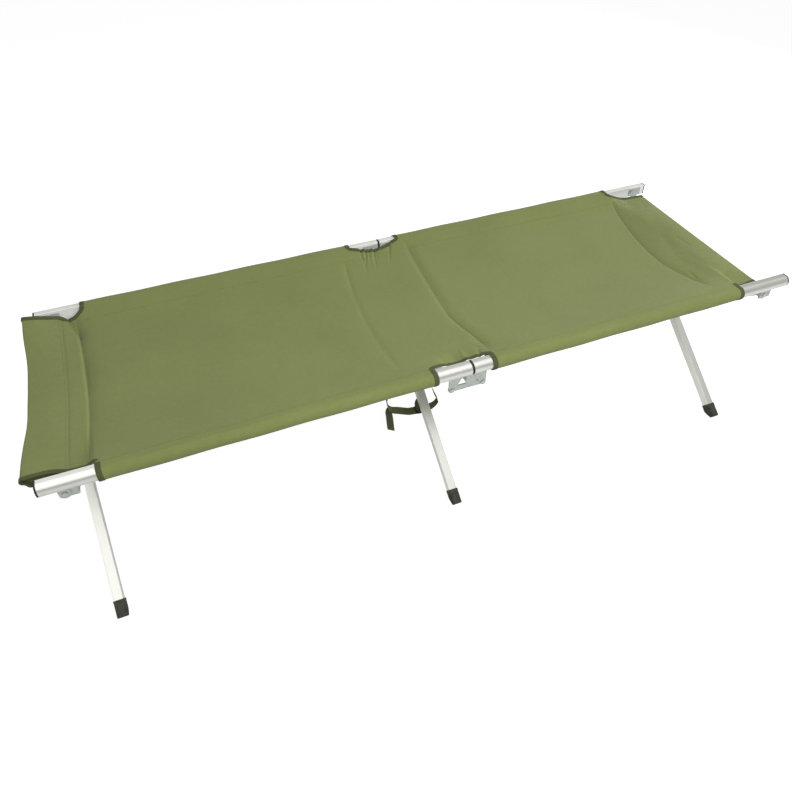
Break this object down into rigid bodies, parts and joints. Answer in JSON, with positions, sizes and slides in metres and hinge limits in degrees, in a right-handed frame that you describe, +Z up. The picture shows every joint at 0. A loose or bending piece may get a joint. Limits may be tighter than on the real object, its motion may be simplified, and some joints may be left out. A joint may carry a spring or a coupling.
{
  "type": "folding cot",
  "caption": "Folding camp cot: canvas bed in sleeves on hinged side rails, held by crossed tubular legs with rubber boots; closes sideways and folds in half.",
  "frame": {"origin": "on the floor under the middle of the cot", "axes": "+X along the bed to the picture's right, +Y from the near rail to the far rail, +Z up"},
  "size_m": [1.95, 0.6682, 0.5256],
  "materials": {
    "rail": "satin anodised extrusion",
    "leg": "satin anodised square tube",
    "black_plastic": "matte moulding",
    "zinc_steel": "zinc plated pressed plate",
    "fastener": "plated, lightly polished heads",
    "boot": "moulded rubber, ribbed",
    "canvas": "olive coated canvas with bound edges",
    "webbing": "dark olive webbing"
  },
  "bodies": {
    "near_left_rail": {"rail_near_left": "rail", "end_plug_near_left": "black_plastic", "hinge_lug_near_left": "zinc_steel", "leg_hanger_near_left": "zinc_steel", "rail_fasteners_near_left": "fastener", "canvas_sleeve_near_left": "canvas", "joint_bumper_near": "black_plastic", "canvas_bed_left": "canvas", "canvas_flap_left": "canvas"},
    "near_left_stirrup": {"leg_stirrup_near_left": "zinc_steel", "leg_pin_near_left": "fastener"},
    "near_right_rail": {"rail_near_right": "rail", "end_plug_near_right": "black_plastic", "hinge_lug_near_right": "zinc_steel", "leg_hanger_near_right": "zinc_steel", "rail_fasteners_near_right": "fastener", "canvas_sleeve_near_right": "canvas", "canvas_bed_right": "canvas", "canvas_flap_right": "canvas"},
    "near_right_stirrup": {"leg_stirrup_near_right": "zinc_steel", "leg_pin_near_right": "fastener"},
    "near_centre": {"centre_link_near": "zinc_steel", "centre_link_pins_near": "fastener", "canvas_centre_patch": "canvas", "tie_strap": "webbing", "strap_buckle": "black_plastic"},
    "near_left_leg": {"leg_near_left": "leg", "foot_boot_near_left": "boot", "cross_bolt_left": "fastener"},
    "near_middle_leg": {"leg_near_middle": "leg", "foot_boot_near_middle": "boot", "cross_bolt_middle": "fastener"},
    "near_right_leg": {"leg_near_right": "leg", "foot_boot_near_right": "boot", "cross_bolt_right": "fastener"},
    "far_left_rail": {"rail_far_left": "rail", "end_plug_far_left": "black_plastic", "hinge_lug_far_left": "zinc_steel", "leg_hanger_far_left": "zinc_steel", "rail_fasteners_far_left": "fastener", "canvas_sleeve_far_left": "canvas", "joint_bumper_far": "black_plastic"},
    "far_left_stirrup": {"leg_stirrup_far_left": "zinc_steel", "leg_pin_far_left": "fastener"},
    "far_right_rail": {"rail_far_right": "rail", "end_plug_far_right": "black_plastic", "hinge_lug_far_right": "zinc_steel", "leg_hanger_far_right": "zinc_steel", "rail_fasteners_far_right": "fastener", "canvas_sleeve_far_right": "canvas"},
    "far_right_stirrup": {"leg_stirrup_far_right": "zinc_steel", "leg_pin_far_right": "fastener"},
    "far_centre": {"centre_link_far": "zinc_steel", "centre_link_pins_far": "fastener"},
    "far_left_leg": {"leg_far_left": "leg", "foot_boot_far_left": "boot"},
    "far_middle_leg": {"leg_far_middle": "leg", "foot_boot_far_middle": "boot"},
    "far_right_leg": {"leg_far_right": "leg", "foot_boot_far_right": "boot"}
  },
  "joints": [
    {"name": "length_fold", "type": "hinge", "parent": "near_left_rail", "child": "near_centre", "pos_m": [-0.043, -0.3165, 0.4395], "axis": [0, 1, 0], "range_deg": [0, 90]},
    {"name": "near_right_fold", "type": "hinge", "parent": "near_centre", "child": "near_right_rail", "pos_m": [0.043, -0.3165, 0.4395], "axis": [0, 1, 0], "range_deg": [0, 90]},
    {"name": "scissor", "type": "hinge", "parent": "near_centre", "child": "near_middle_leg", "pos_m": [0.0125, -0.2825, 0.4615], "axis": [-1, 0, 0], "range_deg": [0, 42], "deforming": ["canvas_bed_left", "canvas_bed_right", "canvas_flap_left", "canvas_flap_right", "canvas_centre_patch", "tie_strap", "strap_buckle"]},
    {"name": "middle_crossing", "type": "hinge", "parent": "near_middle_leg", "child": "far_middle_leg", "pos_m": [0, 0, 0.24257], "axis": [1, 0, 0], "range_deg": [0, 84]},
    {"name": "far_middle_pivot", "type": "hinge", "parent": "far_middle_leg", "child": "far_centre", "pos_m": [-0.0125, 0.2825, 0.4615], "axis": [-1, 0, 0], "range_deg": [0, 42]},
    {"name": "far_left_fold", "type": "hinge", "parent": "far_centre", "child": "far_left_rail", "pos_m": [-0.043, 0.3165, 0.4395], "axis": [0, -1, 0], "range_deg": [0, 90]},
    {"name": "far_right_fold", "type": "hinge", "parent": "far_centre", "child": "far_right_rail", "pos_m": [0.043, 0.3165, 0.4395], "axis": [0, 1, 0], "range_deg": [0, 90]},
    {"name": "near_left_swing", "type": "hinge", "parent": "near_left_rail", "child": "near_left_stirrup", "pos_m": [-0.934, -0.2825, 0.4615], "axis": [0, -1, 0], "range_deg": [0, 90]},
    {"name": "far_left_swing", "type": "hinge", "parent": "far_left_rail", "child": "far_left_stirrup", "pos_m": [-0.934, 0.2825, 0.4615], "axis": [0, -1, 0], "range_deg": [0, 90]},
    {"name": "near_left_pivot", "type": "hinge", "parent": "near_left_stirrup", "child": "near_left_leg", "pos_m": [-0.9215, -0.2825, 0.4615], "axis": [-1, 0, 0], "range_deg": [0, 42]},
    {"name": "left_crossing", "type": "hinge", "parent": "near_left_leg", "child": "far_left_leg", "pos_m": [-0.934, 0, 0.24257], "axis": [1, 0, 0], "range_deg": [0, 84]},
    {"name": "near_right_swing", "type": "hinge", "parent": "near_right_rail", "child": "near_right_stirrup", "pos_m": [0.934, -0.2825, 0.4615], "axis": [0, 1, 0], "range_deg": [0, 90]},
    {"name": "far_right_swing", "type": "hinge", "parent": "far_right_rail", "child": "far_right_stirrup", "pos_m": [0.934, 0.2825, 0.4615], "axis": [0, 1, 0], "range_deg": [0, 90]},
    {"name": "near_right_pivot", "type": "hinge", "parent": "near_right_stirrup", "child": "near_right_leg", "pos_m": [0.9465, -0.2825, 0.4615], "axis": [-1, 0, 0], "range_deg": [0, 42]},
    {"name": "right_crossing", "type": "hinge", "parent": "near_right_leg", "child": "far_right_leg", "pos_m": [0.934, 0, 0.24257], "axis": [1, 0, 0], "range_deg": [0, 84]}
  ],
  "couplings": [
    {"joint": "near_right_fold", "follows": "length_fold", "ratio": 1},
    {"joint": "middle_crossing", "follows": "scissor", "ratio": 2},
    {"joint": "far_middle_pivot", "follows": "scissor", "ratio": 1},
    {"joint": "far_left_fold", "follows": "length_fold", "ratio": 1},
    {"joint": "far_right_fold", "follows": "length_fold", "ratio": 1},
    {"joint": "near_left_swing", "follows": "length_fold", "ratio": 1},
    {"joint": "far_left_swing", "follows": "length_fold", "ratio": 1},
    {"joint": "near_left_pivot", "follows": "scissor", "ratio": 1},
    {"joint": "left_crossing", "follows": "scissor", "ratio": 2},
    {"joint": "near_right_swing", "follows": "length_fold", "ratio": 1},
    {"joint": "far_right_swing", "follows": "length_fold", "ratio": 1},
    {"joint": "near_right_pivot", "follows": "scissor", "ratio": 1},
    {"joint": "right_crossing", "follows": "scissor", "ratio": 2}
  ]
}
